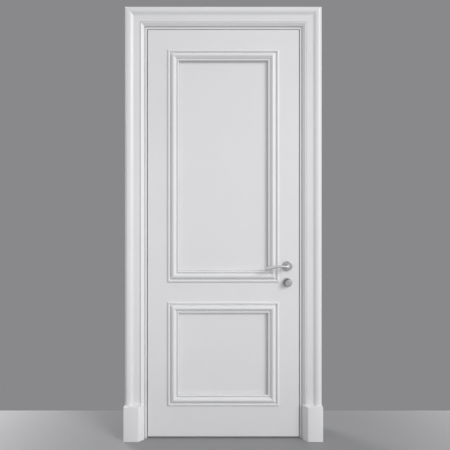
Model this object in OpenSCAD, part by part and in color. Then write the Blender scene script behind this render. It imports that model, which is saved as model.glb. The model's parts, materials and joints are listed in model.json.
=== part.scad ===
// Panelled interior door with frame, casing and hardware. Millimetres, +Z up.
// X is across the opening, Y runs from the viewer into the wall, y = 0 is the wall's front face.

/* [Leaf] */
// Leaf width
leaf_w = 782; // [600:1:1000]
// Leaf height
leaf_h = 2100; // [1900:1:2400]
// Leaf thickness
leaf_t = 44; // [40:1:50]
// Clearance at the sides and head
gap = 4; // [3:0.5:6]
// Clearance over the floor
floor_gap = 9; // [4:1:15]
// Visible width of the stiles and top rail
margin = 102; // [70:1:140]
// Visible height of the lock rail
lock_margin = 98; // [70:1:160]
// Visible height of the bottom rail
bottom_margin = 157; // [100:1:240]
// Height of the lower moulding frame
lower_h = 540; // [400:1:700]
// Panel thickness
panel_t = 26; // [18:1:30]
// Thickness of the tongues and tenons
tongue_t = 12; // [8:0.5:14]
// Length of the tongues
tongue_l = 12; // [8:0.5:16]
// Rounding of the long arrises
arris = 2; // [1:0.5:3]

/* [Panel moulding] */
// Moulding width
mould_w = 62; // [58:1:80]
// Lap of the moulding over the stile
mould_lap = 28; // [20:1:32]
// Height of the crest over the stile
mould_h = 15.5; // [15.5:0.5:20]
// Distance of the crest from the outer edge
mould_crest = 36; // [34:0.5:38]
// Radius of the crest's outer side
mould_crest_r = 14; // [13:0.5:15]
// Radius of the crest's inner side
mould_slope_r = 15.2; // [13:0.1:15.4]
// Radius of the outer bead
outer_bead_r = 6.5; // [5:0.5:7]
// Radius of the inner bead
inner_bead_r = 4; // [3:0.1:4.5]
// Width of the quirk between crest and inner bead
mould_quirk = 1.8; // [1.5:0.1:3]
// Width of the fillet on the panel
mould_fillet = 1.5; // [1:0.1:3]

/* [Frame] */
// Wall thickness
wall_t = 100; // [80:1:160]
// Jamb thickness in the rebate
jamb_t = 34; // [32:1:45]
// Stop height over the rebate
stop_h = 14; // [10:1:20]
// Space for the seal behind the leaf
seal_gap = 4; // [3:0.5:6]
// Reveal of the jamb beside the casing
reveal = 12; // [8:1:16]
// Width of the shadow slot in the jamb beside the casing
slot_w = 3; // [2:0.5:4]
// Depth of the shadow slot
slot_d = 4; // [2:0.5:6]
// Radius of the jamb's fixing holes
fix_r = 4; // [3:0.5:5]
// Distance between the two fixings beside each hinge
fix_pitch = 290; // [200:1:400]

/* [Casing] */
// Casing width
casing_w = 99; // [95:1:120]
// Height of the crest
casing_h = 22; // [18:0.5:28]
// Height of the flat
casing_flat = 13; // [11:0.5:16]
// Width of the outer fillet
casing_edge_w = 6; // [4:0.5:8]
// Height of the outer fillet
casing_edge_h = 8; // [5:0.5:9]
// Radius of the roll beside the fillet
roll_r = 11; // [10:0.5:12]
// Radius of the bead
bead_r = 3.5; // [2.5:0.5:4]
// Depth of the quirks beside the bead
quirk_d = 3.5; // [2:0.5:5]
// Width of the splay to the inner edge
splay_w = 10; // [8:0.5:12]
// Height of the inner edge
splay_edge = 4; // [2:0.5:6]
// Plinth height
plinth_h = 175; // [120:1:240]
// Plinth depth
plinth_d = 38; // [32:1:44]
// Splay on the plinth's inner side
plinth_splay = 24; // [10:1:30]

/* [Handles] */
// Lever axis height
lever_z = 890; // [800:1:1100]
// Distance from the lever axis down to the turn axis
turn_drop = 85; // [75:1:95]
// Rose radius
rose_r = 25; // [22:0.5:28]
// Rose thickness
rose_t = 9; // [6:0.5:12]
// Thickness of the turn's rose
turn_rose_t = 7; // [5:0.5:8]
// Radius of the lever's neck
neck_r = 9; // [8:0.5:10]
// Lever length from its axis
lever_l = 118; // [100:1:140]
// Height of the lever arm's centre over the leaf
lever_reach = 52; // [46:1:60]
// Bend radius of the lever
lever_bend_r = 14; // [12:0.5:16]
// Half height of the lever arm beside the bend
lever_thin = 6; // [5:0.5:8]
// Half height of the lever arm at its tip
lever_tip = 11.5; // [8:0.5:13]
// Fall of the lever's tip
lever_droop = 13; // [0:0.5:18]
// Lever spindle, across flats
spindle_w = 8; // [7:0.5:9]
// Thumb turn radius
turn_r = 16; // [12:0.5:18]
// Thumb turn height over its rose
turn_h = 20; // [11:0.5:24]
// Radius of the turn's stem
turn_stem_r = 8; // [7:0.5:9]
// Turn spindle, across flats
turn_spindle_w = 6; // [5:0.5:7]

/* [Lock] */
// Backset of the lock
backset = 60; // [50:1:70]
// Case depth
case_w = 83; // [75:1:95]
// Case thickness
case_t = 16; // [15:0.5:18]
// Case wall
case_wall = 1.5; // [1:0.5:2]
// Reach of the case over the lever axis
case_above = 52; // [45:1:70]
// Reach of the case under the turn axis
case_below = 42; // [35:1:60]
// Faceplate width
face_w = 20; // [18:1:24]
// Faceplate thickness
face_t = 3; // [2.5:0.5:4]
// Reach of the faceplate past the case
face_over = 28; // [20:1:40]
// Strike plate width
strike_w = 24; // [22:1:26]
// Strike plate thickness
strike_t = 2.3; // [2:0.1:3]
// Height of the latch over the lever axis
latch_rise = 22; // [18:1:26]
// Thickness of both bolts
bolt_t = 12; // [10:0.5:12]
// Latch height
latch_h = 18; // [14:0.5:20]
// Latch length
latch_l = 33.5; // [28:0.5:38]
// Dead bolt height
dead_h = 22; // [16:0.5:24]
// Dead bolt length
dead_l = 45.5; // [35:0.5:48]

/* [Hinge] */
// Hinge height
hinge_h = 130; // [110:1:160]
// Distance of the hinge centres from the leaf's ends
hinge_in = 220; // [150:1:300]
// Half the distance between an arm's two pins
pin_a = 24; // [22:0.5:24]
// Depth of the pins behind the front face
pin_b = 10; // [9.5:0.5:11]
// Pin radius
pin_r = 2.5; // [2:0.1:3]
// Depth of the hinge cups
cup_d = 28; // [28:0.5:31]
// Front of the cups behind the leaf's face
cup_y0 = 4; // [3:0.5:5]
// Back of the cups behind the leaf's face
cup_y1 = 33; // [32:0.5:36]
// Thickness of the arm
arm_t = 5; // [4:0.5:5]
// Length of the screws in the jamb
frame_screw_l = 32; // [30:1:33]
// Length of the screws in the leaf
leaf_screw_l = 44; // [34:1:60]

/* [Hidden] */
$fn = 64;
// clearances: fixed fit, running fit, sliding fit
fit = 0.1;
run = 0.05;
slide = 0.1;
// leaf and opening
lw2 = leaf_w / 2;
lz0 = floor_gap;
lz1 = floor_gap + leaf_h;
ow2 = lw2 + gap;
oz = lz1 + gap;
ci = ow2 + reveal;
co = ci + casing_w;
ciz = oz + reveal;
coz = ciz + casing_w;
stop_y = leaf_t + seal_gap;
seal_s = stop_h / 2;
seal_stem = 1.2;
// outer corners of the moulding frames
mx = lw2 - margin;
uz1 = lz1 - margin;
dz0 = lz0 + bottom_margin;
dz1 = dz0 + lower_h;
uz0 = dz1 + lock_margin;
// panel openings
px = mx - mould_lap;
puz1 = uz1 - mould_lap;
puz0 = uz0 + mould_lap;
pdz1 = dz1 - mould_lap;
pdz0 = dz0 + mould_lap;
groove_d = tongue_l + 2;
groove_y = tongue_t / 2 + 2 * fit;
mid_y = leaf_t / 2;
rec = (leaf_t - panel_t) / 2;
// lock
lever_x = lw2 - backset;
turn_z = lever_z - turn_drop;
latch_z = lever_z + latch_rise;
case_z0 = turn_z - case_below;
case_z1 = lever_z + case_above;
face_z0 = case_z0 - face_over;
face_z1 = case_z1 + face_over;
face_screw_in = 10;
strike_z0 = face_z0 + 10;
strike_z1 = face_z1 - 10;
strike_d = strike_t + 2 * fit;
strike_screw_in = 12;
strike_screw_l = 22;
face_screw_l = 26;
bolt_set = 0.5;
follower_r = neck_r;
bolt_follower_r = turn_stem_r - 1;
follower_t = case_t / 2 - fit;
// depths of the spindles' sockets
socket_d = 30;
turn_socket = turn_rose_t + 7;
coin_socket = turn_rose_t - 1;
// lever loft: points in a ring, rings in the bend and in the arm
ring_n = 28;
bend_n = 8;
arm_n = 14;
// screws
screw_r = 1.95;
pilot_r = 2;
hinge_head_r = 4.9;
hinge_head_h = 2.9;
strike_head_r = 3.7;
strike_head_h = 1.8;
face_head_r = 3.8;
face_head_h = 1.9;
// hinges: middle of the gap, heights, then half heights inside a hinge
hx = -(lw2 + gap / 2);
hz = [lz0 + hinge_in, lz1 - hinge_in];
cup_wall = 1.5;
cup_side = 2;
cup_mid_y = (cup_y0 + cup_y1) / 2;
cup_screw_z = hinge_h / 2 - 11;
pocket_z = hinge_h / 2 - 31;
arm_z = pocket_z - 2;
pin_z = pocket_z + 9.5;
arm_y = cup_y1 - cup_side - 4;
knuckle_r = pin_r + 1.3;
// jamb fixings, in pairs beside the hinges
fix_y = 24;
fix_lo = hz[0] + 101;
fix_hi = hz[1] - 119;
fix_z = [fix_lo, fix_lo + fix_pitch, fix_hi - fix_pitch, fix_hi];

// colours
white = [0.86, 0.86, 0.86];
metal = [0.62, 0.62, 0.63];
steel = [0.55, 0.55, 0.56];
rubber = [0.75, 0.75, 0.74];

// box from two corners
module bx(a, b) {
  translate(a) cube([b[0] - a[0], b[1] - a[1], b[2] - a[2]]);
}

// box along Y, centred on x and z, of half width w and half height h
module bar_y(x, z, w, h, y0, y1) {
  bx([x - w, y0, z - h], [x + w, y1, z + h]);
}

// box along X, centred on the leaf's middle, of half thickness t and half height h
module bar_x(z, t, h, x0, x1) {
  bx([x0, mid_y - t, z - h], [x1, mid_y + t, z + h]);
}

// square from two corners
module sq(a, b) {
  translate(a) square([b[0] - a[0], b[1] - a[1]]);
}

// disc in the plane
module ci2(x, y, r) {
  translate([x, y]) circle(r);
}

// cylinder along +Y from y0 to y1
module cyl_y(x, z, r, y0, y1) {
  translate([x, y0, z]) rotate([-90, 0, 0]) cylinder(r = r, h = y1 - y0);
}

// cylinder along +X from x0 to x1
module cyl_x(y, z, r, x0, x1) {
  translate([x0, y, z]) rotate([0, 90, 0]) cylinder(r = r, h = x1 - x0);
}

// rear copy of a front piece of the frame
module rear_frame() {
  translate([0, wall_t, 0]) mirror([0, 1, 0]) children();
}

// rear copy of a front piece of the leaf
module rear_leaf() {
  translate([0, leaf_t, 0]) mirror([0, 1, 0]) children();
}

// mirror image about the middle of the hinge gap
module to_leaf() {
  translate([2 * hx, 0, 0]) mirror([1, 0, 0]) children();
}

// Countersunk screw along +Z, head face at z = 0, with a crossed recess
module screw(l, head_r, head_h) {
  recess_w = 1;
  recess_d = 0.9;
  difference() {
    union() {
      cylinder(r = screw_r, h = l);
      cylinder(r1 = head_r, r2 = screw_r, h = head_h);
    }
    for (a = [0, 90]) rotate([0, 0, a])
      translate([-recess_w / 2, -0.8 * head_r, -1]) cube([recess_w, 1.6 * head_r, 1 + recess_d]);
  }
}

// Countersunk hole along +Z for such a screw
module screw_hole(l, head_r, head_h) {
  hole_r = screw_r + 0.3;
  translate([0, 0, -0.01]) {
    cylinder(r = hole_r, h = l);
    cylinder(r1 = head_r + 0.4, r2 = hole_r, h = head_h + 0.2);
  }
}

// Casing section: s inward from the outer edge, d out from the wall
module casing_section() {
  w = casing_w;
  h = casing_h;
  f = casing_flat;
  roll_s = casing_edge_w + roll_r;
  crest_s = roll_s + 6;
  // crest and hollow meet on a 3-4-5 slope, so that both arcs end in one point
  crest_r = 2.8 * (h - f);
  hollow_r = 2.2 * (h - f);
  meet_s = crest_s + 0.6 * crest_r;
  hollow_s = meet_s + 0.6 * hollow_r;
  bead_s = w - splay_w - bead_r - 2.5;
  quirk_s = bead_s - bead_r - 2.5;
  sq([0, 0], [roll_s, casing_edge_h]);
  intersection() {
    ci2(roll_s, h - roll_r, roll_r);
    sq([0, casing_edge_h - 1], [roll_s, h + 1]);
  }
  sq([roll_s, 0], [crest_s, h]);
  intersection() {
    ci2(crest_s, h - crest_r, crest_r);
    sq([crest_s, 0], [meet_s, h + 1]);
  }
  difference() {
    sq([meet_s, 0], [hollow_s, h + 1]);
    ci2(hollow_s, f + hollow_r, hollow_r);
  }
  sq([hollow_s, 0], [quirk_s, f]);
  sq([quirk_s - 0.5, 0], [w - splay_w + 0.5, f - quirk_d]);
  sq([bead_s - bead_r, 0], [bead_s + bead_r, f - 2]);
  ci2(bead_s, f - 2, bead_r);
  polygon([[w - splay_w, 0], [w, 0], [w, splay_edge], [w - splay_w, f - 1]]);
}

// Bolection section: s inward from the outer edge, h out from the stile's face
module mould_section() {
  h = mould_h;
  w = mould_w;
  foot = mould_lap + 0.2;
  base = 2.5;
  bead_s = outer_bead_r + 3.5;
  inner_s = w - mould_fillet - inner_bead_r;
  inner_h = 3.5;
  slope_end = inner_s - inner_bead_r - mould_quirk;
  floor_h = 0.5;
  fillet_h = 3;
  sq([0, 0], [mould_crest, base]);
  intersection() {
    ci2(bead_s, 2, outer_bead_r);
    sq([0, 0], [mould_crest, h]);
  }
  intersection() {
    ci2(mould_crest, h - mould_crest_r, mould_crest_r);
    sq([0, 0], [mould_crest, h + 1]);
  }
  intersection() {
    ci2(mould_crest, h - mould_slope_r, mould_slope_r);
    sq([mould_crest, 0], [slope_end, h + 1]);
  }
  sq([foot, -rec], [inner_s, floor_h]);
  sq([inner_s - inner_bead_r, -rec], [inner_s + inner_bead_r, inner_h]);
  ci2(inner_s, inner_h, inner_bead_r);
  sq([inner_s, -rec], [w, fillet_h - rec]);
}

// One length of moulding, standing, outer edge at x = 0, front of the leaf
module mould_bar(z0, z1) {
  translate([0, 0, z0]) linear_extrude(z1 - z0) mirror([0, 1]) mould_section();
}

// Prism through the leaf over an outline in X and Z
module through_leaf(points) {
  reach = mould_w;
  translate([0, reach, 0]) rotate([90, 0, 0]) linear_extrude(2 * reach) polygon(points);
}

// Mitred frame of four lengths round a panel, with a hairline at each mitre
module mould_frame(x0, z0, x1, z1) {
  w = mould_w;
  g = 0.05;
  for (a = [0, 1]) translate([a * (x0 + x1), 0, 0]) mirror([a, 0, 0]) intersection() {
    translate([x0, 0, 0]) mould_bar(z0, z1);
    through_leaf([[x0, z0 + g], [x0 + w, z0 + w + g], [x0 + w, z1 - w - g], [x0, z1 - g]]);
  }
  for (a = [0, 1]) translate([0, 0, a * (z0 + z1)]) mirror([0, 0, a]) intersection() {
    translate([x1, 0, z0]) rotate([0, -90, 0]) mould_bar(0, x1 - x0);
    through_leaf([[x0 + g, z0], [x1 - g, z0], [x1 - w - g, z0 + w], [x0 + w + g, z0 + w]]);
  }
}

// Space on the outer side of the left casing's mitre (side 0) or on its inner side (side -1)
module mitre_space(side) {
  big = 2 * casing_w;
  translate([-co, -big / 2, coz]) rotate([0, 45, 0])
    translate([-big / 2, 0, side * big]) cube([2 * big, big, big]);
}

// Left casing with its mitre
module casing_side() {
  difference() {
    translate([-co, 0, plinth_h]) linear_extrude(coz - plinth_h) mirror([0, 1]) casing_section();
    mitre_space(0);
  }
}

// Head casing with both mitres
module casing_top() {
  difference() {
    translate([-co, 0, coz]) rotate([0, 90, 0]) linear_extrude(2 * co) mirror([0, 1]) casing_section();
    for (a = [0, 1]) mirror([a, 0, 0]) mitre_space(-1);
  }
}

// Left plinth block, a little wider than the casing that stands on it
module plinth() {
  x0 = co + 1;
  x1 = ci;
  d = plinth_d;
  c = plinth_splay;
  linear_extrude(plinth_h)
    polygon([[-x0, 0], [-x0, -d], [-x1 - c, -d], [-x1, c - d], [-x1, 0]]);
}

// Section of the left jamb in plan: rounded front arris, shadow slot and slot for the seal
module jamb_section() {
  difference() {
    union() {
      sq([-ow2 - jamb_t, arris], [-ow2, stop_y]);
      sq([-ow2 - jamb_t, 0], [-ow2 - arris, arris]);
      ci2(-ow2 - arris, arris, arris);
      sq([-ow2 - jamb_t, stop_y], [-ow2 + stop_h, wall_t]);
    }
    sq([-ci, -1], [-ci + slot_w, slot_d]);
    seal_slot();
  }
}

// Seal and its slot in plan at the left jamb
module seal_slot() {
  sq([-ow2 + seal_s - seal_stem - fit, stop_y - 1], [-ow2 + seal_s + seal_stem + fit, stop_y + 8]);
}

module seal_section() {
  difference() {
    ci2(-ow2 + seal_s, stop_y, seal_gap - 0.4);
    sq([-ow2, stop_y], [-ow2 + stop_h, stop_y + seal_gap]);
  }
  sq([-ow2 + seal_s - seal_stem, stop_y - 0.5], [-ow2 + seal_s + seal_stem, stop_y + 7]);
}

// Hinge cup in the jamb; the same shape mirrored goes in the leaf
module hinge_cup(z) {
  x1 = -ow2;
  translate([0, 0, z]) difference() {
    bx([x1 - cup_d, cup_y0, -hinge_h / 2], [x1, cup_y1, hinge_h / 2]);
    bx([x1 - cup_d + cup_wall, cup_y0 + cup_side, -pocket_z], [x1 + 1, cup_y1 - cup_side, pocket_z]);
    translate([hx - pin_a, pin_b, -pin_z - 0.5]) cylinder(r = pin_r + run, h = 2 * pin_z + 1);
    for (s = [-1, 1]) translate([x1, cup_mid_y, s * cup_screw_z]) rotate([0, -90, 0])
      screw_hole(cup_d + 1, hinge_head_r, hinge_head_h);
  }
}

// Mortise for a hinge cup, with pilot holes for its screws of length l
module cup_mortise(l) {
  for (z = hz) translate([0, 0, z]) {
    bx([-ow2 - cup_d, cup_y0, -hinge_h / 2], [-ow2 + 1, cup_y1, hinge_h / 2]);
    for (s = [-1, 1]) cyl_x(cup_mid_y, s * cup_screw_z, pilot_r, -ow2 - l - 1, -ow2);
  }
}

// Screws of both cups on one side, sunk a hair under the cups' faces
module cup_screws(l) {
  for (z = hz) for (s = [-1, 1])
    translate([-ow2 - fit, cup_mid_y, z + s * cup_screw_z]) rotate([0, -90, 0])
      screw(l - fit, hinge_head_r, hinge_head_h);
}

module hinge_jamb() color(white) difference() {
  linear_extrude(oz) jamb_section();
  cup_mortise(frame_screw_l);
  for (z = fix_z) cyl_x(fix_y, z, fix_r, -ow2 - jamb_t - 1, -ow2 + 1);
}

module strike_jamb() color(white) difference() {
  mirror([1, 0, 0]) linear_extrude(oz) jamb_section();
  for (z = fix_z) cyl_x(fix_y, z, fix_r, ow2 - 1, ow2 + jamb_t + 1);
  bx([ow2 - 1, mid_y - strike_w / 2, strike_z0], [ow2 + strike_d, mid_y + strike_w / 2, strike_z1]);
  bar_x(latch_z, bolt_t / 2 + 3, latch_h / 2 + 4, ow2, ow2 + 22);
  bar_x(turn_z, bolt_t / 2 + 3, dead_h / 2 + 4, ow2, ow2 + 24);
  for (z = [strike_z0 + strike_screw_in, strike_z1 - strike_screw_in])
    cyl_x(mid_y, z, pilot_r, ow2, ow2 + strike_screw_l + 2);
}

module head_jamb() color(white) {
  x1 = ow2 + jamb_t;
  difference() {
    union() {
      bx([-x1, arris, oz], [x1, wall_t, oz + jamb_t]);
      bx([-x1, 0, oz + arris], [x1, arris, oz + jamb_t]);
      cyl_x(arris, oz + arris, arris, -x1, x1);
      bx([-ow2 + stop_h, stop_y, oz - stop_h], [ow2 - stop_h, wall_t, oz]);
    }
    bx([-ow2 + stop_h - 1, stop_y - 1, oz - seal_s - seal_stem - fit],
      [ow2 - stop_h + 1, stop_y + 8, oz - seal_s + seal_stem + fit]);
    bx([-ci, -1, ciz - slot_w], [ci, slot_d, ciz]);
    for (a = [0, 1]) mirror([a, 0, 0]) bx([-ci, -1, oz - 1], [-ci + slot_w, slot_d, ciz]);
  }
}

module hinge_seal() color(rubber) linear_extrude(oz - seal_s - 5) seal_section();
module strike_seal() color(rubber) mirror([1, 0, 0]) linear_extrude(oz - seal_s - 5) seal_section();
module head_seal() color(rubber)
  translate([-ow2 + stop_h, 0, oz - ow2]) rotate([0, 90, 0])
    linear_extrude(2 * (ow2 - stop_h)) seal_section();

module front_casing_left() color(white) casing_side();
module front_casing_right() color(white) mirror([1, 0, 0]) casing_side();
module front_casing_head() color(white) casing_top();
module front_plinth_left() color(white) plinth();
module front_plinth_right() color(white) mirror([1, 0, 0]) plinth();
module rear_casing_left() color(white) rear_frame() casing_side();
module rear_casing_right() color(white) rear_frame() mirror([1, 0, 0]) casing_side();
module rear_casing_head() color(white) rear_frame() casing_top();
module rear_plinth_left() color(white) rear_frame() plinth();
module rear_plinth_right() color(white) rear_frame() mirror([1, 0, 0]) plinth();

// Strike plate in the jamb, with openings for both bolts
module strike_plate() color(metal) difference() {
  bx([ow2 + 2 * fit, mid_y - strike_w / 2 + fit, strike_z0 + fit],
    [ow2 + strike_d, mid_y + strike_w / 2 - fit, strike_z1 - fit]);
  bar_x(latch_z, bolt_t / 2 + 2, latch_h / 2 + 2, ow2 - 1, ow2 + 5);
  bar_x(turn_z, bolt_t / 2 + 2, dead_h / 2 + 2, ow2 - 1, ow2 + 5);
  for (z = [strike_z0 + strike_screw_in, strike_z1 - strike_screw_in])
    translate([ow2 + 2 * fit, mid_y, z]) rotate([0, 90, 0]) screw_hole(10, strike_head_r, strike_head_h);
}

module strike_screws() color(metal)
  for (z = [strike_z0 + strike_screw_in, strike_z1 - strike_screw_in])
    translate([ow2 + 5 * fit, mid_y, z]) rotate([0, 90, 0])
      screw(strike_screw_l, strike_head_r, strike_head_h);

module lower_frame_cup() color(metal) hinge_cup(hz[0]);
module upper_frame_cup() color(metal) hinge_cup(hz[1]);
module lower_leaf_cup() color(metal) to_leaf() hinge_cup(hz[0]);
module upper_leaf_cup() color(metal) to_leaf() hinge_cup(hz[1]);
module frame_cup_screws() color(metal) cup_screws(frame_screw_l);
module leaf_cup_screws() color(metal) to_leaf() cup_screws(leaf_screw_l);

// U-shaped arm with its two pins
module hinge_arm(z) {
  t2 = arm_t / 2;
  translate([hx, 0, z]) {
    translate([0, 0, -arm_z]) linear_extrude(2 * arm_z) {
      for (s = [-1, 1]) {
        ci2(s * pin_a, pin_b, knuckle_r);
        sq([s * pin_a - t2, pin_b], [s * pin_a + t2, arm_y]);
        ci2(s * pin_a, arm_y, t2);
      }
      sq([-pin_a, arm_y - t2], [pin_a, arm_y + t2]);
    }
    for (s = [-1, 1]) translate([s * pin_a, pin_b, -pin_z]) cylinder(r = pin_r, h = 2 * pin_z);
  }
}

module lower_hinge_arm() color(steel) hinge_arm(hz[0]);
module upper_hinge_arm() color(steel) hinge_arm(hz[1]);

// Left stile in plan: rounded outer arrises
module stile_section() {
  sq([-lw2, arris], [-px, leaf_t - arris]);
  sq([-lw2 + arris, 0], [-px, leaf_t]);
  for (y = [arris, leaf_t - arris]) ci2(-lw2 + arris, y, arris);
}

// Groove for tongues and tenons, between two corners in X and Z
module groove(x0, z0, x1, z1) {
  bx([x0, mid_y - groove_y, z0], [x1, mid_y + groove_y, z1]);
}

module stile_bar() {
  difference() {
    translate([0, 0, lz0]) linear_extrude(leaf_h) stile_section();
    groove(-px - groove_d, lz0 - 1, -px + 1, lz1 + 1);
  }
}

module hinge_stile() color(white) difference() {
  stile_bar();
  to_leaf() cup_mortise(leaf_screw_l);
}

module lock_stile() color(white) difference() {
  mirror([1, 0, 0]) stile_bar();
  bx([lw2 - case_w - face_t, mid_y - case_t / 2 - fit, case_z0],
    [lw2 + 1, mid_y + case_t / 2 + fit, case_z1]);
  bx([lw2 - face_t, mid_y - face_w / 2, face_z0], [lw2 + 1, mid_y + face_w / 2, face_z1]);
  cyl_y(lever_x, lever_z, neck_r + 2, -1, leaf_t + 1);
  cyl_y(lever_x, turn_z, turn_stem_r + 1, -1, leaf_t + 1);
  for (z = [face_z0 + face_screw_in, face_z1 - face_screw_in])
    cyl_x(mid_y, z, pilot_r, lw2 - face_screw_l - 2, lw2);
}

// Rail with stub tenons and grooves along the edges named
module rail(z0, z1, top, bottom) {
  tenon = px + groove_d - 1;
  difference() {
    union() {
      bx([-px, 0, z0], [px, leaf_t, z1]);
      bx([-tenon, mid_y - tongue_t / 2, z0], [tenon, mid_y + tongue_t / 2, z1]);
    }
    if (top) groove(-tenon - 1, z1 - groove_d, tenon + 1, z1 + 1);
    if (bottom) groove(-tenon - 1, z0 - 1, tenon + 1, z0 + groove_d);
  }
}

module top_rail() color(white) rail(puz1, lz1, false, true);
module lock_rail() color(white) rail(pdz1, puz0, true, true);
module bottom_rail() color(white) rail(lz0, pdz0, true, false);

// Panel with a tongue all round
module panel(z0, z1) {
  g = 2 * fit;
  bx([-px + g, rec, z0 + g], [px - g, leaf_t - rec, z1 - g]);
  t = tongue_l;
  bx([-px - t, mid_y - tongue_t / 2, z0 - t], [px + t, mid_y + tongue_t / 2, z1 + t]);
}

module upper_panel() color(white) panel(puz0, puz1);
module lower_panel() color(white) panel(pdz0, pdz1);

module front_upper_moulding() color(white) mould_frame(-mx, uz0, mx, uz1);
module front_lower_moulding() color(white) mould_frame(-mx, dz0, mx, dz1);
module rear_upper_moulding() color(white) rear_leaf() mould_frame(-mx, uz0, mx, uz1);
module rear_lower_moulding() color(white) rear_leaf() mould_frame(-mx, dz0, mx, dz1);

// Openings for both bolts through the faceplate and the case's front
module bolt_ways(x0, x1) {
  bar_x(latch_z, bolt_t / 2 + slide, latch_h / 2 + slide, x0, x1);
  bar_x(turn_z, bolt_t / 2 + slide, dead_h / 2 + slide, x0, x1);
}

// Lock case: a closed steel shell, open at the front for the bolts
module lock_case() color(steel) {
  x0 = lw2 - face_t - case_w;
  x1 = lw2 - face_t;
  y0 = mid_y - case_t / 2;
  y1 = mid_y + case_t / 2;
  c = case_wall;
  difference() {
    bx([x0 + fit, y0, case_z0 + fit], [x1, y1, case_z1 - fit]);
    bx([x0 + fit + c, y0 + c, case_z0 + fit + c], [x1 - c, y1 - c, case_z1 - fit - c]);
    bolt_ways(x1 - 5, x1 + 1);
    cyl_y(lever_x, lever_z, follower_r + run, y0 - 1, y1 + 1);
    cyl_y(lever_x, turn_z, bolt_follower_r + run, y0 - 1, y1 + 1);
  }
}

module lock_faceplate() color(metal) difference() {
  bx([lw2 - face_t, mid_y - face_w / 2 + fit, face_z0 + fit], [lw2, mid_y + face_w / 2 - fit, face_z1 - fit]);
  bolt_ways(lw2 - face_t - 2, lw2 + 1);
  for (z = [face_z0 + face_screw_in, face_z1 - face_screw_in])
    translate([lw2, mid_y, z]) rotate([0, -90, 0]) screw_hole(10, face_head_r, face_head_h);
}

module faceplate_screws() color(metal)
  for (z = [face_z0 + face_screw_in, face_z1 - face_screw_in])
    translate([lw2 - 3 * fit, mid_y, z]) rotate([0, -90, 0]) screw(face_screw_l, face_head_r, face_head_h);

// Rose: turned cover with a soft edge and a bore for the stem that turns in it
module rose(z, stem_r, r, t) {
  bore = stem_r + 0.08;
  e = 2.5;
  translate([lever_x, 0, z]) rotate([90, 0, 0]) rotate_extrude() difference() {
    union() {
      sq([bore, 0], [r, t - e]);
      sq([bore, 0], [r - e, t]);
      ci2(r - e, t - e, e);
    }
    sq([bore + 3, -1], [r - 2, t - 3]);
  }
}

module front_rose() color(metal) rose(lever_z, neck_r, rose_r, rose_t);
module rear_rose() color(metal) rear_leaf() rose(lever_z, neck_r, rose_r, rose_t);
module front_turn_rose() color(metal) rose(turn_z, turn_stem_r, rose_r - 1, turn_rose_t);
module rear_turn_rose() color(metal) rear_leaf() rose(turn_z, turn_stem_r, rose_r - 1, turn_rose_t);

// Lever loft: rings round the neck's end, a quarter bend and the arm, t from 0 to 1 along each
function ease(t) = t * t * (3 - 2 * t);
function arm_drop(t) = 2.5 * sin(180 * min(1, 1.6 * t)) - lever_droop * pow(t, 3);
function arm_h(t) = lever_thin + (lever_tip - lever_thin) * pow(t, 2.2);
function arm_d(t) = neck_r - 1.5 - 2.2 * t;
function arm_end(i) = i == arm_n ? 0.45 : i == arm_n - 1 ? 0.9 : 1;
function ring(c, across, d, h) = [for (j = [0 : ring_n - 1]) let (a = 360 * j / ring_n)
  [c[0] + across[0] * d * sin(a), c[1] + across[1] * d * sin(a), c[2] + h * cos(a)]];
function bend_ring(i) = let (
    t = i / bend_n,
    a = 90 * t,
    b = lever_bend_r,
    r = neck_r - run
  ) ring([b * cos(a) - b, b - lever_reach - b * sin(a), 0], [-cos(a), sin(a)],
    r + (arm_d(0) - r) * ease(t), r + (arm_h(0) - r) * ease(t));
function arm_ring(i) = let (t = i / arm_n, e = arm_end(i))
  ring([-lever_bend_r - (lever_l - lever_bend_r) * t, -lever_reach, arm_drop(t)], [0, 1],
    e * arm_d(t), e * arm_h(t));

module lever_arm() {
  root = ring([0, lever_bend_r - lever_reach + 2, 0], [-1, 0], neck_r - 0.3, neck_r - 0.3);
  rings = concat([root], [for (i = [0 : bend_n]) bend_ring(i)], [for (i = [1 : arm_n]) arm_ring(i)]);
  last = len(rings) - 1;
  sides = [for (i = [0 : last - 1]) for (j = [0 : ring_n - 1])
    let (a = i * ring_n + j, b = i * ring_n + (j + 1) % ring_n)
    [a + ring_n, b + ring_n, b, a]];
  root_cap = [for (j = [0 : ring_n - 1]) j];
  tip_cap = [for (j = [ring_n - 1 : -1 : 0]) last * ring_n + j];
  polyhedron(points = [for (r = rings) each r], faces = concat(sides, [root_cap], [tip_cap]));
}

module lever() {
  s2 = spindle_w / 2 + run;
  translate([lever_x, 0, lever_z]) difference() {
    union() {
      lever_arm();
      cyl_y(0, 0, neck_r, lever_bend_r - lever_reach, -1);
    }
    bar_y(0, 0, s2, s2, -socket_d, 1);
  }
}

module front_lever() color(metal) lever();
module rear_lever() color(metal) rear_leaf() lever();
module lever_spindle() color(steel)
  bar_y(lever_x, lever_z, spindle_w / 2, spindle_w / 2, 0.5 - socket_d, leaf_t + socket_d - 0.5);

// Follower turned by the spindle, with the tail that draws the latch
module latch_follower() color(steel) difference() {
  s2 = spindle_w / 2 + run;
  union() {
    cyl_y(lever_x, lever_z, follower_r, mid_y - follower_t, mid_y + follower_t);
    bx([lever_x - 3, mid_y - bolt_t / 2, lever_z], [lever_x + 3, mid_y + bolt_t / 2, latch_z - 2]);
  }
  bar_y(lever_x, lever_z, s2, s2, 0, leaf_t);
}

module latch_bolt() color(metal) {
  x1 = lw2 - bolt_set;
  bar_x(latch_z, bolt_t / 2, latch_h / 2, x1 - latch_l, x1);
  bar_x(latch_z, bolt_t / 4, latch_h / 4.5, x1 - latch_l - 18, x1 - latch_l + 1);
}

module dead_bolt() color(metal)
  bar_x(turn_z, bolt_t / 2, dead_h / 2, lw2 - bolt_set - dead_l, lw2 - bolt_set);

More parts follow.
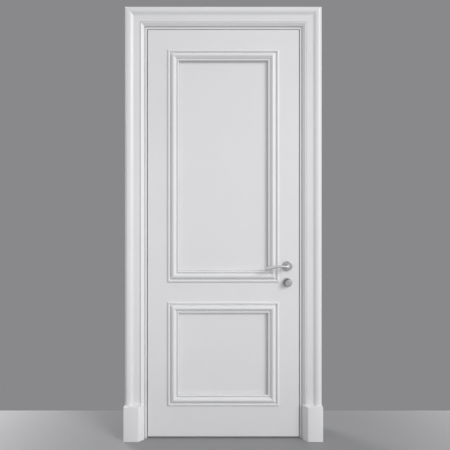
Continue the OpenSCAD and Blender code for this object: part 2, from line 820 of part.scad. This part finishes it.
module bolt_follower() color(steel) difference() {
  s2 = turn_spindle_w / 2 + run;
  cyl_y(lever_x, turn_z, bolt_follower_r, mid_y - follower_t, mid_y + follower_t);
  bar_y(lever_x, turn_z, s2, s2, 0, leaf_t);
}

// Thumb turn: stem in the rose and a soft-edged round knob
module thumb_turn() color(metal) translate([lever_x, 0, turn_z]) rotate([90, 0, 0]) difference() {
  s2 = turn_spindle_w / 2 + run;
  knob_y0 = turn_rose_t + 2;
  knob_y1 = turn_rose_t + turn_h;
  e = 3;
  rotate_extrude() {
    sq([0, 1], [turn_stem_r, knob_y0 + 3]);
    sq([0, knob_y0], [turn_r, knob_y1 - e]);
    sq([0, knob_y0], [turn_r - e, knob_y1]);
    ci2(turn_r - e, knob_y1 - e, e);
  }
  bx([-s2, -s2, -1], [s2, s2, turn_socket]);
}

// Coin release on the rear: a low disc with a slot
module coin_release() color(metal) translate([lever_x, leaf_t, turn_z]) rotate([-90, 0, 0]) difference() {
  s2 = turn_spindle_w / 2 + run;
  disc_r = turn_stem_r + 2;
  y0 = turn_rose_t;
  rotate_extrude() {
    sq([0, 1], [turn_stem_r, y0]);
    sq([0, y0], [disc_r, y0 + 2]);
    sq([0, y0], [disc_r - 1, y0 + 3]);
    ci2(disc_r - 1, y0 + 2, 1);
  }
  bx([-s2, -s2, -1], [s2, s2, coin_socket]);
  bx([-0.9, 1 - turn_stem_r, y0 + 0.5], [0.9, turn_stem_r - 1, y0 + 5]);
}

module turn_spindle() color(steel)
  bar_y(lever_x, turn_z, turn_spindle_w / 2, turn_spindle_w / 2,
    0.5 - turn_socket, leaf_t + coin_socket - 0.5);

hinge_jamb();
strike_jamb();
head_jamb();
hinge_seal();
strike_seal();
head_seal();
front_casing_left();
front_casing_right();
front_casing_head();
front_plinth_left();
front_plinth_right();
rear_casing_left();
rear_casing_right();
rear_casing_head();
rear_plinth_left();
rear_plinth_right();
strike_plate();
strike_screws();
lower_frame_cup();
upper_frame_cup();
frame_cup_screws();
lower_hinge_arm();
upper_hinge_arm();
hinge_stile();
lock_stile();
top_rail();
lock_rail();
bottom_rail();
upper_panel();
lower_panel();
front_upper_moulding();
front_lower_moulding();
rear_upper_moulding();
rear_lower_moulding();
lower_leaf_cup();
upper_leaf_cup();
leaf_cup_screws();
lock_case();
lock_faceplate();
faceplate_screws();
front_rose();
rear_rose();
front_turn_rose();
rear_turn_rose();
front_lever();
rear_lever();
lever_spindle();
latch_follower();
latch_bolt();
thumb_turn();
coin_release();
turn_spindle();
bolt_follower();
dead_bolt();
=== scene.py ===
"""Looks for a white panelled interior door in its frame: painted joinery, mouldings and satin hardware."""

import json
import math

import bmesh
import bpy
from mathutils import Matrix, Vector

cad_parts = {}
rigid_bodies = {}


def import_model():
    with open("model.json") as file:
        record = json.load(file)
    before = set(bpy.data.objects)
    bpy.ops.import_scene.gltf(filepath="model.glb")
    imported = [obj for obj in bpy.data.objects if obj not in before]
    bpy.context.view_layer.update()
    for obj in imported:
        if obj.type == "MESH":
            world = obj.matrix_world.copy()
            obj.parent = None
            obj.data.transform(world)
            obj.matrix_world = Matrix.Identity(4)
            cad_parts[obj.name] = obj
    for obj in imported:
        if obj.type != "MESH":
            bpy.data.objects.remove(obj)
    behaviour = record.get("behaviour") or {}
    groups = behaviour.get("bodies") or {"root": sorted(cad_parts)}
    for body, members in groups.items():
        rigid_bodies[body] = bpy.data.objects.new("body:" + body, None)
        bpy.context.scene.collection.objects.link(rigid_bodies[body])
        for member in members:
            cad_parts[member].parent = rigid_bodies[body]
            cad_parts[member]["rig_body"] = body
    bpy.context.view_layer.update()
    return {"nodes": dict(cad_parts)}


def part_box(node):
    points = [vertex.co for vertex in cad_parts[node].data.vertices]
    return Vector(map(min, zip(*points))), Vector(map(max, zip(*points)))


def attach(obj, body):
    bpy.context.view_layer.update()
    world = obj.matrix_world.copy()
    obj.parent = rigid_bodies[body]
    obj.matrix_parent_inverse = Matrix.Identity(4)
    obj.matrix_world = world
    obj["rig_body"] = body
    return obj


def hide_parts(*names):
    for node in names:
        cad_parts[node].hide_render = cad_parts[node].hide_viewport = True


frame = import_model()
NODES = frame["nodes"]
MM = 0.001

# Casing section, in millimetres: across from the outer edge, out from the wall
CASING_W = 99
CASING_H = 22
CASING_FLAT = 13
EDGE_W = 6
EDGE_H = 8
ROLL_R = 11
CREST_X = 23
CREST_R = 25.2
HOLLOW_X = 50
QUIRK_W = 2
QUIRK_D = 2.8
BEAD_R = 3.8
BEAD_X = 83
BEAD_H = 16
SPLAY_ANGLE = 38

# Panel moulding section, in millimetres: across from the outer edge, out from the leaf's face.
# A bead is given by its middle across, its middle out and its radius.
MOULD_W = 62
MOULD_LAP = 28.2
MOULD_H = 15.5
BASE_H = 2.5
OUTER_BEAD = (7.8, 2, 5.8)
VALLEY_H = 0.4
MOULD_CREST = 34.5
NOSE_R = 5
SLOPE_ANGLE = 40
SLOPE_END = 48.8
STEP_H = 0.5
INNER_BEAD = (54.3, 3.5, 4.4)

# Depth of the panel's face, and the groove and fillet that stand on it
PANEL_RECESS = 9
GROOVE_H = 0.3
FILLET_W = 1.6
FILLET_H = 2.5

# Lever, in millimetres; half depth and half height of its arm beside the bend and at the tip
NECK_START = 1
NECK_R = 9
LEVER_L = 118
LEVER_REACH = 52
LEVER_BEND = 14
LEVER_ROUND = 6
ARM_ROOT = (7.5, 6)
ARM_TIP = (5.3, 11.5)
ARM_RISE = 2.5
ARM_DROOP = 13

# Line of the lever's arm: the rise ends at 1 / RISE_WAVE of its length; powers of the droop and the widening
RISE_WAVE = 1.6
DROOP_POWER = 3
WIDEN_POWER = 2.2

# Steps of the lever's mesh: round the bar, along the bend, along the arm; degrees round the tip
LEVER_SIDES = 40
BEND_STEPS = 16
ARM_STEPS = 30
TIP_STEP = 9

# Plinth, in millimetres
PLINTH_SPLAY = 24

# Rounding of arrises: millimetres, steps, least bend in degrees, largest share of a side.
# A corner beside a side of no length is left out.
ARRIS = 0.7
PLINTH_ARRIS = 1.0
ARRIS_STEPS = 3
ARRIS_BEND = 28
ARRIS_SHARE = 0.4
NO_LENGTH = 1e-6

# Steps of arcs in the sections
ARC_STEPS = 14
NOSE_STEPS = 6

# Edges that bend by more than this, in degrees, are shaded sharp
JOINERY_SHARP = 32
LEVER_SHARP = 50

# Directions, and the ends of a length that are mitred
RIGHT = (1, 0, 0)
LEFT = (-1, 0, 0)
UP = (0, 0, 1)
DOWN = (0, 0, -1)
BOTH_ENDS = (1, 1)
TOP_END = (0, 1)

# Range in which a noise mostly lies, and what the fine and the broad grain add to the gloss
NOISE_RANGE = (0.3, 0.7)
FINE_SHARE = 0.6
BROAD_SHARE = 0.4
BROAD_SCALE = 9.0

# Lacquer's coat, and the knob's rim of painted shade and painted dark reflection: where the axis's part of the
# normal is below RIM_FACING
COAT_ROUGHNESS = 0.25
RIM_FACING = 0.5
# Colour of the knob rim's painted shade and painted dark reflection
PAINTED_RIM_SHADE_TONE = (0.08, 0.08, 0.085)

# Stage, in metres: greys of the backdrop, of the floor round the door, darker there as painted shade that also
# throws less light back onto the door's foot, and further out; where the floor changes
BACKDROP = (0.25, 0.25, 0.258)
# Grey of the floor's painted shade round the door
FLOOR_PAINTED_SHADE = (0.30, 0.30, 0.31)
FLOOR_FAR = (0.72, 0.72, 0.73)
FLOOR_SHADE_FADE = (0.6, 2.4)
FLOOR_ROUGHNESS = 0.6
STAGE_REACH = 6.0
BACKDROP_Y = 0.32

# Light: metres, watts, and spread in degrees
KEY = {"place": (4.9, -4.6, 4.1), "target": (0.15, 0, 0.95), "size": 4.0, "power": 33, "spread_angle": 42}
REAR_FILL = {"place": (-4.6, 4.0, 4.2), "target": (0, 0.1, 1.1), "size": 3.0, "power": 220, "spread_angle": 180}
WORLD_TONE = (1.0, 1.0, 1.02)
WORLD_STRENGTH = 0.565

# Camera: place in metres, focal length in pixels of a 450 pixel wide image, sensor in millimetres
IMAGE_W = 450
FOCAL_PX = 416.2
CAMERA_AT = (0.0088, -2.150, 1.101)
SENSOR = 36.0


def arc(cx, cy, r, start, end, steps=ARC_STEPS):
    """Points of an arc between two angles in degrees."""
    turn = [math.radians(start + (end - start) * i / steps) for i in range(steps + 1)]
    return [(cx + r * math.cos(a), cy + r * math.sin(a)) for a in turn]


def eased(points, radius):
    """The closed outline with each sharp corner rounded."""
    result = []
    count = len(points)
    for i, point in enumerate(points):
        here = Vector(point)
        before = Vector(points[i - 1]) - here
        after = Vector(points[(i + 1) % count]) - here
        if min(before.length, after.length) < NO_LENGTH:
            continue
        bend = math.pi - before.angle(after)
        if bend < math.radians(ARRIS_BEND):
            result.append(here)
            continue
        cut = min(radius, before.length * ARRIS_SHARE, after.length * ARRIS_SHARE)
        first = here + before.normalized() * cut
        last = here + after.normalized() * cut
        for k in range(ARRIS_STEPS + 1):
            t = k / ARRIS_STEPS
            result.append(first * (1 - t) ** 2 + here * 2 * t * (1 - t) + last * t ** 2)
    return [(p[0], p[1]) for p in result]


def casing_outline():
    """Casing: torus and cove on the outer side, flat, quirked bead and splay on the inner side."""
    rise = CASING_H - CREST_R
    drop = CASING_FLAT - rise
    run = HOLLOW_X - CREST_X
    hollow_r = (run ** 2 + drop ** 2 - CREST_R ** 2) / (2 * (CREST_R - drop))
    lean = math.degrees(math.atan2(drop + hollow_r, run))
    roll_y = CASING_H - ROLL_R
    roll_turn = math.degrees(math.asin((EDGE_H - roll_y) / ROLL_R))
    bead_edge = BEAD_X - BEAD_R
    quirk_x = bead_edge - QUIRK_W
    quirk_y = CASING_FLAT - QUIRK_D
    bead = arc(BEAD_X, BEAD_H - BEAD_R, BEAD_R, 180, 90 - SPLAY_ANGLE)
    splay_edge = bead[-1][1] - (CASING_W - bead[-1][0]) * math.tan(math.radians(SPLAY_ANGLE))
    points = [(0, 0), (0, EDGE_H)]
    points += arc(EDGE_W + ROLL_R, roll_y, ROLL_R, 180 - roll_turn, 90)
    points += arc(CREST_X, rise, CREST_R, 90, lean)
    points += arc(HOLLOW_X, CASING_FLAT + hollow_r, hollow_r, 180 + lean, 270)[1:]
    points += [(quirk_x, CASING_FLAT), (quirk_x, quirk_y), (bead_edge, quirk_y)]
    points += bead
    points += [(CASING_W, splay_edge), (CASING_W, 0)]
    return eased(points, ARRIS)


def moulding_outline():
    """Bolection moulding: outer bead, valley, high shoulder, straight fall, inner bead and groove."""
    bead_x, bead_y, bead_r = OUTER_BEAD
    inner_x, inner_y, inner_r = INNER_BEAD
    outer_turn = math.degrees(math.asin((BASE_H - bead_y) / bead_r))
    nose = arc(MOULD_CREST, MOULD_H - NOSE_R, NOSE_R, 90, 90 - SLOPE_ANGLE, NOSE_STEPS)
    slope_y = nose[-1][1] - (SLOPE_END - nose[-1][0]) * math.tan(math.radians(SLOPE_ANGLE))
    groove_y = GROOVE_H - PANEL_RECESS
    fillet_x = MOULD_W - FILLET_W
    fillet_y = FILLET_H - PANEL_RECESS
    points = [(0, 0), (0, BASE_H)]
    points += arc(bead_x, bead_y, bead_r, 180 - outer_turn, outer_turn)
    points += [(bead_x + bead_r, VALLEY_H)]
    points += arc(MOULD_CREST, VALLEY_H, MOULD_H - VALLEY_H, 180, 90)
    points += nose[1:]
    points += [(SLOPE_END, slope_y), (SLOPE_END, STEP_H), (inner_x - inner_r, STEP_H)]
    points += arc(inner_x, inner_y, inner_r, 180, 0)
    points += [(inner_x + inner_r, groove_y), (fillet_x, groove_y), (fillet_x, fillet_y), (MOULD_W, fillet_y)]
    points += [(MOULD_W, -PANEL_RECESS), (MOULD_LAP, -PANEL_RECESS), (MOULD_LAP, 0)]
    return eased(points, ARRIS)


def add_object(name, data):
    """A new object in the scene."""
    obj = bpy.data.objects.new(name, data)
    bpy.context.scene.collection.objects.link(obj)
    return obj


def finish_mesh(bm, name, sharp_angle=JOINERY_SHARP):
    """A mesh object from bm, smooth but for its sharp edges."""
    bmesh.ops.recalc_face_normals(bm, faces=bm.faces)
    mesh = bpy.data.meshes.new(name)
    bm.to_mesh(mesh)
    bm.free()
    mesh.shade_smooth()
    mesh.set_sharp_from_angle(angle=math.radians(sharp_angle))
    return add_object(name, mesh)


def add_bar(bm, outline, start, across, out, along, length, mitres):
    """One straight length of a section. Its ends step in by mitre times the distance across."""
    start, across, out, along = (Vector(v) for v in (start, across, out, along))
    rings = []
    for end in (0, 1):
        ring = []
        for s, d in outline:
            shift = s * mitres[0] if end == 0 else length - s * mitres[1]
            ring.append(bm.verts.new((start + across * s + out * d + along * shift) * MM))
        rings.append(ring)
    count = len(outline)
    for i in range(count):
        j = (i + 1) % count
        bm.faces.new((rings[0][i], rings[0][j], rings[1][j], rings[1][i]))
    bm.faces.new(rings[0])
    bm.faces.new(rings[1])


def corners(node):
    """A node's lowest and highest corners in millimetres."""
    lo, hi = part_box(node)
    return lo / MM, hi / MM


def dress(obj, node, material):
    """Puts a new piece in the place of a CAD node, on its body."""
    body = NODES[node]["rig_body"]
    obj.data.materials.append(material)
    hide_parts(node)
    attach(obj, body)


def make_casing(node, side, wall_y, out_y, material):
    """A length of casing: side is -1 left, 1 right, 0 head."""
    lo, hi = corners(node)
    outline = casing_outline()
    out = (0, out_y, 0)
    bm = bmesh.new()
    if side:
        outer = lo.x if side < 0 else hi.x
        add_bar(bm, outline, (outer, wall_y, lo.z), (-side, 0, 0), out, UP, hi.z - lo.z, TOP_END)
    else:
        add_bar(bm, outline, (lo.x, wall_y, hi.z), DOWN, out, RIGHT, hi.x - lo.x, BOTH_ENDS)
    dress(finish_mesh(bm, node.replace("casing", "architrave")), node, material)


def make_moulding(node, face_y, out_y, material):
    """Four mitred lengths of panel moulding round one panel."""
    lo, hi = corners(node)
    outline = moulding_outline()
    out = (0, out_y, 0)
    high = hi.z - lo.z
    wide = hi.x - lo.x
    bm = bmesh.new()
    for start_x, start_z, across, along, length in (
        (lo.x, lo.z, RIGHT, UP, high),
        (hi.x, lo.z, LEFT, UP, high),
        (lo.x, lo.z, UP, RIGHT, wide),
        (lo.x, hi.z, DOWN, RIGHT, wide),
    ):
        add_bar(bm, outline, (start_x, face_y, start_z), across, out, along, length, BOTH_ENDS)
    dress(finish_mesh(bm, node.replace("moulding", "bolection")), node, material)


def make_plinth(node, side, wall_y, out_y, material):
    """A plinth block, splayed on the inner side, with eased arrises: side is -1 left, 1 right."""
    lo, hi = corners(node)
    outer, inner = (lo.x, hi.x) if side < 0 else (hi.x, lo.x)
    depth = hi.y - lo.y
    splay_x = inner + side * PLINTH_SPLAY
    plan = [(outer, 0), (outer, depth), (splay_x, depth), (inner, depth - PLINTH_SPLAY), (inner, 0)]
    bm = bmesh.new()
    foot, top = (
        [bm.verts.new(Vector((x, wall_y + out_y * d, z)) * MM) for x, d in plan] for z in (lo.z, hi.z)
    )
    bm.faces.new(foot)
    bm.faces.new(top)
    for i in range(len(plan)):
        j = (i + 1) % len(plan)
        bm.faces.new((foot[i], foot[j], top[j], top[i]))
    hidden = set(foot), {foot[0], foot[-1], top[0], top[-1]}
    shown = [e for e in bm.edges if not any(set(e.verts) <= side_verts for side_verts in hidden)]
    bmesh.ops.bevel(
        bm, geom=shown, offset=PLINTH_ARRIS * MM, segments=ARRIS_STEPS, profile=0.5, affect="EDGES")
    dress(finish_mesh(bm, node.replace("plinth", "plinth_block")), node, material)


def lever_rings():
    """Rings from the neck to the tip: centre (across, out, up), direction across, half depth, half height."""
    neck = LEVER_REACH - LEVER_BEND
    rings = [((0, out, 0), (-1, 0), NECK_R, NECK_R) for out in (NECK_START, neck / 2, neck)]
    for i in range(1, BEND_STEPS + 1):
        t = i / BEND_STEPS
        turn = math.radians(90 * t)
        ease = t * t * (3 - 2 * t)
        centre = (LEVER_BEND * (math.cos(turn) - 1), neck + LEVER_BEND * math.sin(turn), 0)
        depth, height = (NECK_R + (size - NECK_R) * ease for size in ARM_ROOT)
        rings.append((centre, (-math.cos(turn), -math.sin(turn)), depth, height))
    arm = LEVER_L - LEVER_BEND
    straight = arm - LEVER_ROUND
    spots = [straight * i / ARM_STEPS for i in range(1, ARM_STEPS + 1)]
    spots += [straight + LEVER_ROUND * math.sin(math.radians(a)) for a in range(TIP_STEP, 90, TIP_STEP)]
    for spot in spots:
        t = spot / arm
        past = max(0, spot - straight) / LEVER_ROUND
        round_off = math.sqrt(1 - past ** 2)
        up = ARM_RISE * math.sin(math.pi * min(1, RISE_WAVE * t)) - ARM_DROOP * t ** DROOP_POWER
        depth = ARM_ROOT[0] + (ARM_TIP[0] - ARM_ROOT[0]) * t
        height = ARM_ROOT[1] + (ARM_TIP[1] - ARM_ROOT[1]) * t ** WIDEN_POWER
        rings.append(((-LEVER_BEND - spot, LEVER_REACH, up), (0, -1), depth * round_off, height * round_off))
    return rings


def make_lever(node, rose, face_y, out_y, material):
    """A lever bent from one bar: round neck, quarter bend, and an arm that widens and falls to its tip."""
    lo, hi = corners(rose)
    axis_x, axis_z = (lo.x + hi.x) / 2, (lo.z + hi.z) / 2
    bm = bmesh.new()
    rows = []
    for (x, out, up), (side_x, side_out), depth, height in lever_rings():
        row = []
        for j in range(LEVER_SIDES):
            a = 2 * math.pi * j / LEVER_SIDES
            swing = depth * math.sin(a)
            point = (axis_x + x + side_x * swing, face_y + out_y * (out + side_out * swing),
                     axis_z + up + height * math.cos(a))
            row.append(bm.verts.new(Vector(point) * MM))
        rows.append(row)
    for near, far in zip(rows, rows[1:]):
        for j in range(LEVER_SIDES):
            k = (j + 1) % LEVER_SIDES
            bm.faces.new((near[j], near[k], far[k], far[j]))
    bm.faces.new(rows[0])
    bm.faces.new(rows[-1])
    dress(finish_mesh(bm, node.replace("lever", "lever_handle"), LEVER_SHARP), node, material)


def node_group(name, inputs, outputs):
    """An empty shader group with named sockets, and its input and output nodes."""
    group = bpy.data.node_groups.new(name, "ShaderNodeTree")
    for label, kind, value in inputs:
        socket = group.interface.new_socket(label, in_out="INPUT", socket_type=kind)
        socket.default_value = value
    for label, kind in outputs:
        group.interface.new_socket(label, in_out="OUTPUT", socket_type=kind)
    entry = group.nodes.new("NodeGroupInput")
    leave = group.nodes.new("NodeGroupOutput")
    return group, entry, leave


def feed(tree, socket, value):
    """Links value to a socket, or sets it there if it is a constant."""
    if isinstance(value, bpy.types.NodeSocket):
        tree.links.new(value, socket)
    else:
        socket.default_value = value


def noise(tree, vector, scale, detail, rough):
    """A noise texture fed by vector."""
    node = tree.nodes.new("ShaderNodeTexNoise")
    for label, value in (("Vector", vector), ("Scale", scale), ("Detail", detail), ("Roughness", rough)):
        feed(tree, node.inputs[label], value)
    return node.outputs["Fac"]


def spread(tree, value, low, high):
    """A noise value's usual range mapped to low to high."""
    node = tree.nodes.new("ShaderNodeMapRange")
    node.inputs["From Min"].default_value, node.inputs["From Max"].default_value = NOISE_RANGE
    for label, source in (("Value", value), ("To Min", low), ("To Max", high)):
        feed(tree, node.inputs[label], source)
    return node.outputs["Result"]


def calculate(tree, operation, *values):
    """One step of arithmetic."""
    node = tree.nodes.new("ShaderNodeMath")
    node.operation = operation
    for socket, value in zip(node.inputs, values):
        feed(tree, socket, value)
    return node.outputs["Value"]


def mix_tones(tree, factor, first, second):
    """The first colour where factor is 0, the second where it is 1."""
    node = tree.nodes.new("ShaderNodeMix")
    node.data_type = "RGBA"
    for label, value in (("Factor", factor), ("A", first), ("B", second)):
        feed(tree, node.inputs[label], value)
    return node.outputs["Result"]


def object_place(tree):
    """Texture coordinates in metres, in the shared frame."""
    return tree.nodes.new("ShaderNodeTexCoord").outputs["Object"]


def tone_group():
    """Slow drift between two tones of one finish."""
    group, entry, leave = node_group(
        "finish_tone",
        [("Light", "NodeSocketColor", (1, 1, 1, 1)), ("Shade", "NodeSocketColor", (0.9, 0.9, 0.9, 1)),
         ("Scale", "NodeSocketFloat", 3.0)],
        [("Color", "NodeSocketColor")],
    )
    drift = noise(group, object_place(group), entry.outputs["Scale"], detail=4.0, rough=0.6)
    factor = spread(group, drift, 0.0, 1.0)
    tone = mix_tones(group, factor, entry.outputs["Shade"], entry.outputs["Light"])
    group.links.new(tone, leave.inputs["Color"])
    return group


def grain_group():
    """Fine surface grain, stretched along one axis: a height and a roughness that go together."""
    group, entry, leave = node_group(
        "surface_grain",
        [("Stretch", "NodeSocketVector", (1, 1, 1)), ("Scale", "NodeSocketFloat", 400.0),
         ("Smooth", "NodeSocketFloat", 0.3), ("Rough", "NodeSocketFloat", 0.4)],
        [("Height", "NodeSocketFloat"), ("Roughness", "NodeSocketFloat")],
    )
    scaled = group.nodes.new("ShaderNodeVectorMath")
    scaled.operation = "MULTIPLY"
    group.links.new(object_place(group), scaled.inputs[0])
    group.links.new(entry.outputs["Stretch"], scaled.inputs[1])
    fine = noise(group, scaled.outputs["Vector"], entry.outputs["Scale"], detail=3.0, rough=0.55)
    broad = noise(group, object_place(group), BROAD_SCALE, detail=2.0, rough=0.5)
    broad_part = calculate(group, "MULTIPLY", broad, BROAD_SHARE)
    blend = calculate(group, "MULTIPLY_ADD", fine, FINE_SHARE, broad_part)
    gloss = spread(group, blend, entry.outputs["Smooth"], entry.outputs["Rough"])
    group.links.new(fine, leave.inputs["Height"])
    group.links.new(gloss, leave.inputs["Roughness"])
    return group


def rim_shade_group():
    """Mask of the faces that look away from a knob's axis, where the knob's side gets painted shade and a
    painted dark reflection.
    """
    group, _, leave = node_group("knob_rim_painted_shade", [], [("Mask", "NodeSocketFloat")])
    normal = group.nodes.new("ShaderNodeTexCoord").outputs["Normal"]
    parts = group.nodes.new("ShaderNodeSeparateXYZ")
    group.links.new(normal, parts.inputs["Vector"])
    along_axis = calculate(group, "ABSOLUTE", parts.outputs["Y"])
    group.links.new(calculate(group, "LESS_THAN", along_axis, RIM_FACING), leave.inputs["Mask"])
    return group


TONE = tone_group()
GRAIN = grain_group()
RIM_SHADE_GROUP = rim_shade_group()


def new_material(name):
    """A material with nodes, and its tree."""
    material = bpy.data.materials.new(name)
    material.use_nodes = True
    return material, material.node_tree


def make_finish(
        name, light, shade, tone_scale, grain_scale, gloss, bump, stretch=(1, 1, 1), metallic=0.0, coat=0.0):
    """A finish: drifting tone, grain in the gloss and a matching fine bump."""
    material, tree = new_material(name)
    shader = tree.nodes["Principled BSDF"]
    shader.inputs["Metallic"].default_value = metallic
    shader.inputs["Coat Weight"].default_value = coat
    shader.inputs["Coat Roughness"].default_value = COAT_ROUGHNESS
    tone = tree.nodes.new("ShaderNodeGroup")
    tone.node_tree = TONE
    tone.inputs["Light"].default_value = (*light, 1)
    tone.inputs["Shade"].default_value = (*shade, 1)
    tone.inputs["Scale"].default_value = tone_scale
    grain = tree.nodes.new("ShaderNodeGroup")
    grain.node_tree = GRAIN
    grain.inputs["Stretch"].default_value = stretch
    grain.inputs["Scale"].default_value = grain_scale
    grain.inputs["Smooth"].default_value, grain.inputs["Rough"].default_value = gloss
    relief = tree.nodes.new("ShaderNodeBump")
    relief.inputs["Strength"].default_value, relief.inputs["Distance"].default_value = bump
    tree.links.new(tone.outputs["Color"], shader.inputs["Base Color"])
    tree.links.new(grain.outputs["Roughness"], shader.inputs["Roughness"])
    tree.links.new(grain.outputs["Height"], relief.inputs["Height"])
    tree.links.new(relief.outputs["Normal"], shader.inputs["Normal"])
    return material


def paint_rim_shade(material):
    """Gives a knob's finish a rim of painted shade and painted dark reflection."""
    tree = material.node_tree
    base = tree.nodes["Principled BSDF"].inputs["Base Color"]
    face_tone = base.links[0].from_socket
    rim = tree.nodes.new("ShaderNodeGroup")
    rim.node_tree = RIM_SHADE_GROUP
    tree.links.new(mix_tones(tree, rim.outputs["Mask"], face_tone, (*PAINTED_RIM_SHADE_TONE, 1)), base)


white_lacquer = make_finish(
    "white_lacquer", light=(0.80, 0.80, 0.805), shade=(0.765, 0.765, 0.775), tone_scale=1.6,
    grain_scale=700, gloss=(0.34, 0.46), bump=(0.06, 0.0004), coat=0.15)
satin_nickel = make_finish(
    "satin_nickel", light=(0.74, 0.73, 0.735), shade=(0.66, 0.65, 0.655), tone_scale=14,
    grain_scale=900, gloss=(0.48, 0.62), bump=(0.05, 0.0002), stretch=(0.04, 1, 1), metallic=1.0)
turned_nickel = make_finish(
    "turned_nickel", light=(0.56, 0.555, 0.585), shade=(0.48, 0.475, 0.505), tone_scale=40,
    grain_scale=1100, gloss=(0.34, 0.48), bump=(0.05, 0.0002), metallic=1.0)
# The knob's nickel, with painted shade and a painted dark reflection round its side
knob_nickel_painted_rim_shade = make_finish(
    "knob_nickel_painted_rim_shade", light=(0.60, 0.595, 0.625), shade=(0.52, 0.515, 0.545), tone_scale=40,
    grain_scale=1100, gloss=(0.34, 0.48), bump=(0.05, 0.0002), metallic=1.0)
paint_rim_shade(knob_nickel_painted_rim_shade)
zinc_steel = make_finish(
    "zinc_steel", light=(0.55, 0.56, 0.57), shade=(0.44, 0.45, 0.46), tone_scale=30,
    grain_scale=500, gloss=(0.34, 0.52), bump=(0.08, 0.0002), metallic=1.0)
grey_rubber = make_finish(
    "grey_rubber", light=(0.60, 0.60, 0.59), shade=(0.52, 0.52, 0.515), tone_scale=12,
    grain_scale=600, gloss=(0.62, 0.80), bump=(0.12, 0.0003))

FINISHES = {
    "white_paint": white_lacquer,
    "satin_metal": satin_nickel,
    "steel": zinc_steel,
    "seal_rubber": grey_rubber,
}
TURNED = {
    "front_rose": turned_nickel,
    "rear_rose": turned_nickel,
    "front_turn_rose": turned_nickel,
    "rear_turn_rose": turned_nickel,
    "coin_release": turned_nickel,
    "thumb_turn": knob_nickel_painted_rim_shade,
}


def finish_nodes():
    """Gives every CAD node the finish of its material slot, and the turned roses and knobs their own."""
    for name, node in NODES.items():
        for slot in node.material_slots:
            slot_name = slot.material.name.split(".")[0]
            slot.material = TURNED.get(name, FINISHES[slot_name])


def make_joinery():
    """Casings, plinths, panel mouldings and levers, front and rear, in place of the plain nodes."""
    wall_y = corners("hinge_jamb")[1].y
    leaf_y = corners("top_rail")[1].y
    for place, wall, face, out in (("front", 0, 0, -1), ("rear", wall_y, leaf_y, 1)):
        for word, side in (("left", -1), ("right", 1), ("head", 0)):
            make_casing(f"{place}_casing_{word}", side, wall, out, white_lacquer)
            if side:
                make_plinth(f"{place}_plinth_{word}", side, wall, out, white_lacquer)
        for word in ("upper", "lower"):
            make_moulding(f"{place}_{word}_moulding", face, out, white_lacquer)
        make_lever(f"{place}_lever", f"{place}_rose", face, out, satin_nickel)


def floor_material():
    """A pale floor that is deeper in tone round the door: painted shade there, which also throws less light
    back onto the door's foot.
    """
    material, tree = new_material("floor_grey_painted_shade")
    shader = tree.nodes["Principled BSDF"]
    shader.inputs["Roughness"].default_value = FLOOR_ROUGHNESS
    distance = tree.nodes.new("ShaderNodeVectorMath")
    distance.operation = "LENGTH"
    shade_fade = tree.nodes.new("ShaderNodeMapRange")
    shade_fade.interpolation_type = "SMOOTHSTEP"
    # Painted shade: the floor darkens towards the door
    shade_fade.inputs["From Min"].default_value, shade_fade.inputs["From Max"].default_value = FLOOR_SHADE_FADE
    tree.links.new(object_place(tree), distance.inputs[0])
    tree.links.new(distance.outputs["Value"], shade_fade.inputs["Value"])
    tone = mix_tones(tree, shade_fade.outputs["Result"], (*FLOOR_PAINTED_SHADE, 1), (*FLOOR_FAR, 1))
    tree.links.new(tone, shader.inputs["Base Color"])
    return material


def backdrop_material():
    """An even grey from the front, and see-through from behind."""
    material, tree = new_material("backdrop_grey")
    tree.nodes.remove(tree.nodes["Principled BSDF"])
    glow = tree.nodes.new("ShaderNodeEmission")
    glow.inputs["Color"].default_value = (*BACKDROP, 1)
    see_through = tree.nodes.new("ShaderNodeBsdfTransparent")
    facing = tree.nodes.new("ShaderNodeNewGeometry")
    mix = tree.nodes.new("ShaderNodeMixShader")
    tree.links.new(facing.outputs["Backfacing"], mix.inputs["Fac"])
    tree.links.new(glow.outputs["Emission"], mix.inputs[1])
    tree.links.new(see_through.outputs["BSDF"], mix.inputs[2])
    tree.links.new(mix.outputs["Shader"], tree.nodes["Material Output"].inputs["Surface"])
    return material


def plane(name, points, material):
    """A flat stage sheet through four corners."""
    bm = bmesh.new()
    bm.faces.new([bm.verts.new(p) for p in points])
    mesh = bpy.data.meshes.new(name)
    bm.to_mesh(mesh)
    bm.free()
    mesh.materials.append(material)
    obj = add_object(name, mesh)
    return obj


def make_stage():
    """Pale floor with painted shade round the door, and a grey backdrop that shows only from the front."""
    far, back = STAGE_REACH, BACKDROP_Y
    plane("floor", [(-far, -far, 0), (far, -far, 0), (far, far, 0), (-far, far, 0)], floor_material())
    backdrop = plane(
        "backdrop", [(-far, back, 0), (far, back, 0), (far, back, far), (-far, back, far)], backdrop_material())
    backdrop.visible_shadow = False
    backdrop.visible_diffuse = False


def area_light(name, place, target, size, power, spread_angle):
    """A square soft light aimed at a point."""
    data = bpy.data.lights.new(name, "AREA")
    data.size = size
    data.energy = power
    data.spread = math.radians(spread_angle)
    lamp = add_object(name, data)
    lamp.location = place
    lamp.rotation_euler = (Vector(target) - Vector(place)).to_track_quat("-Z", "Y").to_euler()


def make_light():
    """Soft key from the right and above, even world light, and a fill for the rear."""
    world = bpy.data.worlds.new("studio")
    bpy.context.scene.world = world
    world.use_nodes = True
    background = world.node_tree.nodes["Background"]
    background.inputs["Color"].default_value = (*WORLD_TONE, 1)
    background.inputs["Strength"].default_value = WORLD_STRENGTH
    area_light("key", **KEY)
    area_light("rear_fill", **REAR_FILL)


def make_camera():
    """Level camera at the height and distance of the photograph."""
    data = bpy.data.cameras.new("camera")
    data.sensor_width = SENSOR
    data.lens = SENSOR * FOCAL_PX / IMAGE_W
    camera = add_object("camera", data)
    camera.location = CAMERA_AT
    camera.rotation_euler = (math.radians(90), 0, 0)
    bpy.context.scene.camera = camera


finish_nodes()
make_joinery()
make_stage()
make_light()
make_camera()

bpy.context.scene.view_settings.view_transform = "Standard"
